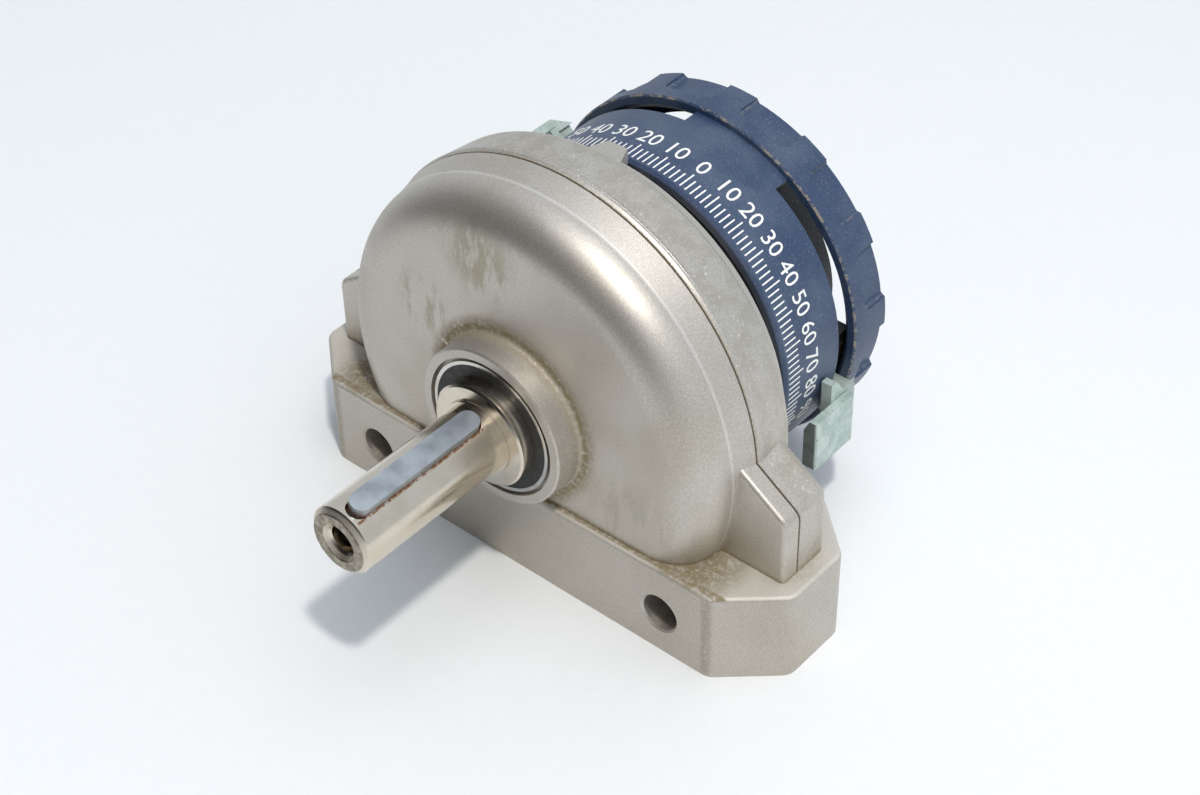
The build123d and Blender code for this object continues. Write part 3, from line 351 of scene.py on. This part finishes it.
wear(["front_housing"], die_casting("plated_die_casting_front", "#D2CCC3", front_dirt))
wear(["rear_housing"], die_casting("plated_die_casting_rear", "#CFCAC2", rear_dirt))
wear(["foot_base"], die_casting("plated_die_casting_foot", "#CAC4BB", foot_dirt, "#80704E"))

# %% [markdown]
# ## Steel
# The shaft is ground steel, so its scratches run around it and catch the light in fine rings. The
# key is drawn steel of a bluer tone, and rust creeps out of the keyway around it. The screws are
# black from the oxide bath.

# %% Steels
ROUND_SCRATCHES = (0.3, 8.0, 0.3)
KEY_SIDE = (2.5, 2.75)
KEY_LINE_Y = (-42.8, -6.0)
KEY_LINE_FROM_Z = (2, 4)
KEY_FOOT_R = (8.5, 9.3)
KEYWAY_TOP_R = (7.3, 7.85)
KEYWAY_FLOOR_R = (4.8, 5.0)
KEYWAY_Y = (-43.6, -5.5)
BEHIND_COLLAR_R = (8.6, 9.2)
BEHIND_COLLAR_Y = (-3.4, -2.2)
SAWN_FACE_Y = (-44.9, -44.6)
DULL_RIM_Y = (-44.2, -43.7)


def beside_key(tree, across, up):
    """How far a point lies to the right of the key's middle plane."""
    turn = math.radians(ZERO_ANGLE)
    return maths(tree, "SUBTRACT", maths(tree, "MULTIPLY", across, math.cos(turn)),
                 maths(tree, "MULTIPLY", up, math.sin(turn)))


def shaft_rust(tree, across, along, up):
    """Rust in the keyway and in a line beside the key, and a brown film behind the collar."""
    radius = diagonal(tree, across, up)
    line = product(tree, within(tree, beside_key(tree, across, up), *KEY_SIDE, 0.3),
                   within(tree, along, *KEY_LINE_Y, 0.4), above(tree, up, *KEY_LINE_FROM_Z))
    keyway = product(tree, below(tree, radius, *KEYWAY_TOP_R), within(tree, along, *KEYWAY_Y, 0.3),
                     above(tree, radius, *KEYWAY_FLOOR_R))
    film = product(tree, within(tree, along, *BEHIND_COLLAR_Y, 0.5),
                   below(tree, radius, *BEHIND_COLLAR_R, 0.6))
    return strongest(tree, keyway, line, film)


def key_rust(tree, across, along, up):
    """A rusty foot along the key's sides, where it leaves the keyway."""
    return below(tree, diagonal(tree, across, up), *KEY_FOOT_R, 0.9)


def ground_steel(name, colour, roughness, rust=None, warm="#B9AE9A", mottle=0.5, sawn_end=False):
    """Turned and ground steel: fine rings around the axis, and rust where told."""
    new, tree, shader, place = material(name, colour, 1.0, roughness)
    across, along, up = axes_of(tree, place)
    rings = noise(tree, place, 0.9, 4, 0.6, stretch=ROUND_SCRATCHES)
    shade = mix(tree, ramp(tree, noise(tree, place, 6, 3), 0.38, 0.7, 0.0, mottle), colour, warm)
    rough = ramp(tree, rings, 0.3, 0.7, roughness - 0.05, roughness + 0.08)
    if sawn_end:
        # The end face was left as it came off the saw, grey and dull, with dirt in its marks.
        marks = ramp(tree, noise(tree, place, 1.6, 4, 0.7), 0.35, 0.6, 0.45, 0.9)
        shade = mix(tree, product(tree, below(tree, along, *SAWN_FACE_Y), marks), shade, "#7C7466")
        rough = maths(tree, "ADD", rough, below(tree, along, *DULL_RIM_Y, 0.28))
    if rust:
        flakes = ramp(tree, noise(tree, place, 1.0, 4, 0.7), 0.38, 0.52)
        rusty = product(tree, rust(tree, across, along, up), flakes)
        shade = mix(tree, rusty, shade, "#6E4522")
        feed(tree, shader, "Metallic", maths(tree, "SUBTRACT", 1.0, rusty))
    feed(tree, shader, "Base Color", shade)
    feed(tree, shader, "Roughness", rough)
    bump(tree, shader, rings, 0.006, 0.2)
    return new


wear(["output_shaft"],
     ground_steel("ground_steel_shaft", "#D8CFC0", 0.18, shaft_rust, mottle=0.25, sawn_end=True))
wear(named("_key"), ground_steel("drawn_steel_key", "#B4BAC0", 0.38, key_rust, warm="#8F949B", mottle=0.8))
wear(named("outer_ring", "inner_ring", "balls", "spacer_sleeve", "lever_washer", "dowel_pins"),
     ground_steel("ground_bearing_steel", "#D6D4CE", 0.2))
wear(named("screw", "lever_bolt", "snap_ring", "stop_nut"),
     ground_steel("black_oxide_screw_steel", "#4A4947", 0.4))
wear(["vane_core"], ground_steel("machined_aluminium_vane", "#C9CACC", 0.3))

# %% [markdown]
# ## Rubber, plastic and passivated zinc
# The seals are dull black rubber with grey dust. The scale drum is moulded in dark blue plastic, with
# sandy dirt in its corners. The stops are small zinc castings whose passivation has turned a dull
# mint green.

# %% Rubber and plastic
DRUM_FRONT_SHADE_Y = (47.6, 48.1)
RING_FRONT_Y = (70.9, 71.35)
RING_FRONT_FROM_R = (42.5, 42.9)
POCKET_Y = (74.9, 82.0)
POCKET_R = (42.2, 42.5)


def rubber(name, colour, dusty="#57534C"):
    """Moulded rubber: black, dull, with a little grey dust."""
    new, tree, shader, place = material(name, colour, 0.0, 0.5)
    dust = noise(tree, place, 2.0, 4, 0.65)
    feed(tree, shader, "Base Color", mix(tree, ramp(tree, dust, 0.5, 0.75, 0.0, 0.5), colour, dusty))
    feed(tree, shader, "Roughness", ramp(tree, dust, 0.3, 0.7, 0.38, 0.65))
    bump(tree, shader, noise(tree, place, 0.5), 0.02, 0.4)
    return new


def drum_wear(tree, place, shade):
    """Sandy dirt along the ring's front edge and in the grip pockets, and painted shade on the drum's front
    edge.
    """
    across, along, up = axes_of(tree, place)
    radius = diagonal(tree, across, up)
    ring_front = product(tree, within(tree, along, *RING_FRONT_Y, 0.2),
                         above(tree, radius, *RING_FRONT_FROM_R), 0.75)
    pocket = product(tree, within(tree, along, *POCKET_Y, 0.4), within(tree, radius, *POCKET_R, 0.1), 0.3)
    sand = ramp(tree, noise(tree, place, 1.4, 4, 0.7), 0.46, 0.58)
    shade = mix(tree, product(tree, strongest(tree, ring_front, pocket), sand), shade, "#9A9180")
    # Painted shade: the front edge of the drum, which stands in the deep gap behind the body's lip, is
    # coloured nearly black.
    return mix(tree, below(tree, along, *DRUM_FRONT_SHADE_Y, 0.9), shade, "#08090C")


def moulded_plastic(name, colour, worn, roughness, grain_mm, wear_and_shade_of=None):
    """Moulded plastic: even colour, sanded mould grain, and tiny pale specks of dust."""
    new, tree, shader, place = material(name, colour, 0.0, roughness)
    cloud = noise(tree, place, 13, 3)
    scuff = noise(tree, place, 0.9, 5, 0.75)
    specks = noise(tree, place, 0.32, 2, 0.6)
    shade = mix(tree, ramp(tree, cloud, 0.35, 0.7, 0.0, 0.28), colour, worn)
    shade = mix(tree, ramp(tree, scuff, 0.64, 0.70, 0.0, 0.45), shade, worn)
    shade = mix(tree, ramp(tree, specks, 0.60, 0.72, 0.0, 0.45), shade, "#A4ABB2")
    if wear_and_shade_of:
        shade = wear_and_shade_of(tree, place, shade)
    feed(tree, shader, "Base Color", shade)
    feed(tree, shader, "Roughness", ramp(tree, cloud, 0.3, 0.7, roughness - 0.05, roughness + 0.06))
    bump(tree, shader, noise(tree, place, grain_mm, 2), 0.02, 0.45)
    return new


wear(named("seal", "buffer"), rubber("moulded_rubber", "#19191A"))
wear(["housing_gasket"], rubber("pressed_fibre_gasket", "#6F685C", "#8F8778"))
wear(["scale_drum"],
     moulded_plastic("moulded_dark_blue_plastic", "#2F4160", "#6C7A8A", 0.43, 0.45, drum_wear))
wear(named("cage"), moulded_plastic("moulded_nylon_cage", "#C9BFA2", "#DDD6C2", 0.5, 0.5))
wear(["stop_lever"], moulded_plastic("dark_coated_lever", "#101216", "#24282E", 0.45, 0.6))

# %% Passivated zinc
STOP_FRONT_SHADE_Y = (50.0, 52.75)


def passivated_zinc(name):
    """Zinc casting with old passivation: chalky mint, with dark pits and fine scratches."""
    new, tree, shader, place = material(name, "#A9B9B2", 0.4, 0.5)
    across, along, up = axes_of(tree, place)
    cloud = noise(tree, place, 3.5, 4, 0.6)
    pit = noise(tree, place, 0.8, 3, 0.7)
    scratch = noise(tree, place, 1.5, 3, 0.6, stretch=(0.4, 5.0, 0.4))
    shade = mix(tree, ramp(tree, cloud, 0.35, 0.65), "#AFC0B8", "#CAD6D0")
    shade = mix(tree, ramp(tree, pit, 0.62, 0.69, 0.0, 0.55), shade, "#55605C")
    shade = mix(tree, ramp(tree, scratch, 0.60, 0.66, 0.0, 0.4), shade, "#6E7A75")
    # Painted shade: the front end of the stop is darkened.
    shade = mix(tree, product(tree, within(tree, along, *STOP_FRONT_SHADE_Y, 0.1), 0.7), shade, "#4E5553")
    feed(tree, shader, "Base Color", shade)
    bump(tree, shader, pit, 0.08, 0.7)
    return new


wear(named("stop_block"), passivated_zinc("passivated_zinc_casting"))
print("CAD nodes left without a material:", [n for n, p in nodes.items() if not p.material_slots])

# %% [markdown]
# ## The printed scale
# The drum carries white lines every two degrees, longer ones every ten, and figures from 0 up to
# both sides. They are printed, so they stand only a few hundredths of a millimetre proud. The lines
# are one small bar, copied and turned about the shaft. The figures are text, made a mesh, laid
# flat on top of the drum and then wrapped around it.

# %% Scale lines
DRUM_R = 41.6
TICK_START = 49.2
SHORT_END = 52.9
LONG_END = 54.1
TICK_WIDTH = 0.34
PRINT_HEIGHT = 0.05
LEFT_END = 50
RIGHT_END = 92
TICK_STEP = 2
FIGURE_STEP = 10


def pad_print(name, colour, worn):
    """Printed paint: even and dull, worn thin in small patches where the plastic shows."""
    new, tree, shader, place = material(name, colour, 0.0, 0.5)
    thin = ramp(tree, noise(tree, place, 0.7, 3, 0.7), 0.62, 0.75, 0.0, 0.5)
    feed(tree, shader, "Base Color", mix(tree, thin, colour, worn))
    return new


def finish_piece(name, mesh, body, finish):
    """Turns a bmesh in millimetres into a piece that rides on a body."""
    bmesh.ops.recalc_face_normals(mesh, faces=mesh.faces)
    bmesh.ops.scale(mesh, vec=(MM, MM, MM), verts=mesh.verts)
    data = bpy.data.meshes.new(name)
    mesh.to_mesh(data)
    mesh.free()
    piece = bpy.data.objects.new(name, data)
    bpy.context.collection.objects.link(piece)
    data.materials.append(finish)
    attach(piece, body)


def about_shaft(angle):
    """A turn about the shaft's axis, in degrees, to the right of straight up."""
    return Matrix.Rotation(math.radians(angle), 4, "Y")


ink = pad_print("white_pad_print", "#F2F3F0", "#8A94A8")
lines = bmesh.new()
for degree in range(-LEFT_END, RIGHT_END + 1, TICK_STEP):
    end = LONG_END if degree % FIGURE_STEP == 0 else SHORT_END
    size = Matrix.Diagonal((TICK_WIDTH, end - TICK_START, PRINT_HEIGHT, 1))
    middle = Matrix.Translation((0, (TICK_START + end) / 2, DRUM_R + PRINT_HEIGHT / 4))
    bmesh.ops.create_cube(lines, size=1, matrix=about_shaft(ZERO_ANGLE + degree) @ middle @ size)
finish_piece("scale_lines", lines, "housing", ink)
print("scale lines from", -LEFT_END, "to", RIGHT_END)

# %% Scale figures
FIGURE_HEIGHT = 4.3
FIGURE_BASE = 55.2
FIGURE_WIDTH = 0.92
FIGURE_THICKNESS = 0.04


def flat_text(text):
    """A text as a mesh that lies flat and is about one unit high."""
    curve = bpy.data.curves.new("figure", "FONT")
    curve.body = text
    curve.align_x = "CENTER"
    curve.size = 1.0
    curve.resolution_u = 3
    curve.extrude = FIGURE_THICKNESS / 2
    holder = bpy.data.objects.new("figure", curve)
    bpy.context.collection.objects.link(holder)
    bpy.context.view_layer.update()
    flat = bpy.data.meshes.new_from_object(holder)
    bpy.data.objects.remove(holder)
    return flat


def wrap(mesh):
    """Bends a flat mesh that lies on top of the drum around the drum."""
    for vert in mesh.verts:
        angle = vert.co.x / DRUM_R
        lift = vert.co.z
        vert.co.x = lift * math.sin(angle)
        vert.co.z = lift * math.cos(angle)


def drum_figure(text, angle):
    """One figure of the scale as a mesh on the drum, at an angle about the shaft."""
    flat = flat_text(text)
    mesh = bmesh.new()
    mesh.from_mesh(flat)
    low = min(v.co.y for v in mesh.verts)
    high = max(v.co.y for v in mesh.verts)
    scale = FIGURE_HEIGHT / (high - low)
    bmesh.ops.translate(mesh, vec=(0, -low, 0), verts=mesh.verts)
    bmesh.ops.scale(mesh, vec=(scale * FIGURE_WIDTH, scale, 1), verts=mesh.verts)
    bmesh.ops.translate(mesh, vec=(0, FIGURE_BASE, DRUM_R + PRINT_HEIGHT / 2), verts=mesh.verts)
    wrap(mesh)
    bmesh.ops.transform(mesh, matrix=about_shaft(angle), verts=mesh.verts)
    mesh.to_mesh(flat)
    mesh.free()
    return flat


figures = bmesh.new()
for degree in range(-LEFT_END, RIGHT_END, FIGURE_STEP):
    figure = drum_figure(str(abs(degree)), ZERO_ANGLE + degree)
    figures.from_mesh(figure)
    bpy.data.meshes.remove(figure)
finish_piece("scale_figures", figures, "housing", ink)
print("figures stand", FIGURE_HEIGHT, "mm high")

# %% [markdown]
# ## Floor, light and background
# The object lies on a round pale sheet. One lamp high at the front right gives the crisp shadow under
# the shaft. A wide soft panel overhead, which the dome's round edge mirrors, gives the bright band.
# The room beyond the sheet is dark at the front left, so the upper left of the dome mirrors a dark wall.

# %% Floor
FLOOR_Z = -43.5
FLOOR_GAP = 0.01
FLOOR_RADIUS = 0.42


def matt_paper(name):
    """Matt paper: nearly white, with faint fibres and a wide unevenness."""
    new, tree, shader, place = material(name, "#EEF2F5", 0.0, 0.6)
    fibre = noise(tree, place, 2.5, 4)
    sheet = noise(tree, place, 180, 2)
    shade = mix(tree, ramp(tree, fibre, 0.3, 0.7, 0.0, 0.25), "#F1F3F4", "#EAEDEF")
    shade = mix(tree, ramp(tree, sheet, 0.3, 0.7, 0.0, 0.3), shade, "#EAEEF1")
    feed(tree, shader, "Base Color", shade)
    return new


disc = bmesh.new()
bmesh.ops.create_circle(disc, cap_ends=True, segments=96, radius=FLOOR_RADIUS)
bmesh.ops.translate(disc, vec=(0, 0, (FLOOR_Z - FLOOR_GAP) * MM), verts=disc.verts)
floor_data = bpy.data.meshes.new("floor")
disc.to_mesh(floor_data)
disc.free()
floor_data.materials.append(matt_paper("pale_paper"))
floor = bpy.data.objects.new("floor", floor_data)
bpy.context.collection.objects.link(floor)
print("floor disc of", FLOOR_RADIUS, "m")

# %% Lamps
KEY_WATTS = 12.6
PANEL_WATTS = 2.9
AIM = Vector((0, 0.02, 0))


def lamp(name, direction, distance, size, power, colour):
    """A square area lamp that looks at the middle of the object from a direction."""
    data = bpy.data.lights.new(name, "AREA")
    data.shape = "SQUARE"
    data.size = size
    data.energy = power
    data.color = linear(colour)[:3]
    light = bpy.data.objects.new(name, data)
    bpy.context.collection.objects.link(light)
    towards = Vector(direction).normalized()
    turn = towards.to_track_quat("Z", "Y").to_matrix().to_4x4()
    light.matrix_world = Matrix.Translation(AIM + towards * distance) @ turn


lamp("key_lamp", (0.36, -0.23, 0.90), 1.6, 0.10, KEY_WATTS, "#FFF8EF")
lamp("panel_lamp", (0.20, -0.10, 0.97), 1.0, 0.9, PANEL_WATTS, "#EEF5FF")
print("lamps:", KEY_WATTS, "W and", PANEL_WATTS, "W")

# %% Room
ROOM_STRENGTH = 0.84
DARK_SIDE = Vector((-0.40, -0.88, 0.18)).normalized()

world = bpy.data.worlds.new("studio")
world.use_nodes = True
bpy.context.scene.world = world
sky = world.node_tree
direction = add(sky, "TexCoord").outputs["Generated"]
facing = add(sky, "VectorMath", {0: direction}, operation="DOT_PRODUCT", values={1: DARK_SIDE})
dark = ramp(sky, facing.outputs["Value"], 0.15, 0.80)
room = sky.nodes["Background"]
feed(sky, room, "Color", mix(sky, dark, "#E6EDF5", "#2A2C30"))
feed(sky, room, "Strength", ROOM_STRENGTH)
# The camera itself sees plain white behind the sheet.
white = add(sky, "Background", values={"Color": linear("#FBFDFF"), "Strength": 1.0})
seen = add(sky, "LightPath").outputs["Is Camera Ray"]
chooser = add(sky, "MixShader", {0: seen, 1: room.outputs[0], 2: white.outputs[0]})
feed(sky, sky.nodes["World Output"], "Surface", chooser.outputs[0])
bpy.context.scene.view_settings.view_transform = "Standard"
print("room strength", ROOM_STRENGTH)

# %% [markdown]
# ## End
# The last cell prints a closing line.

# %% End
print("scene built")
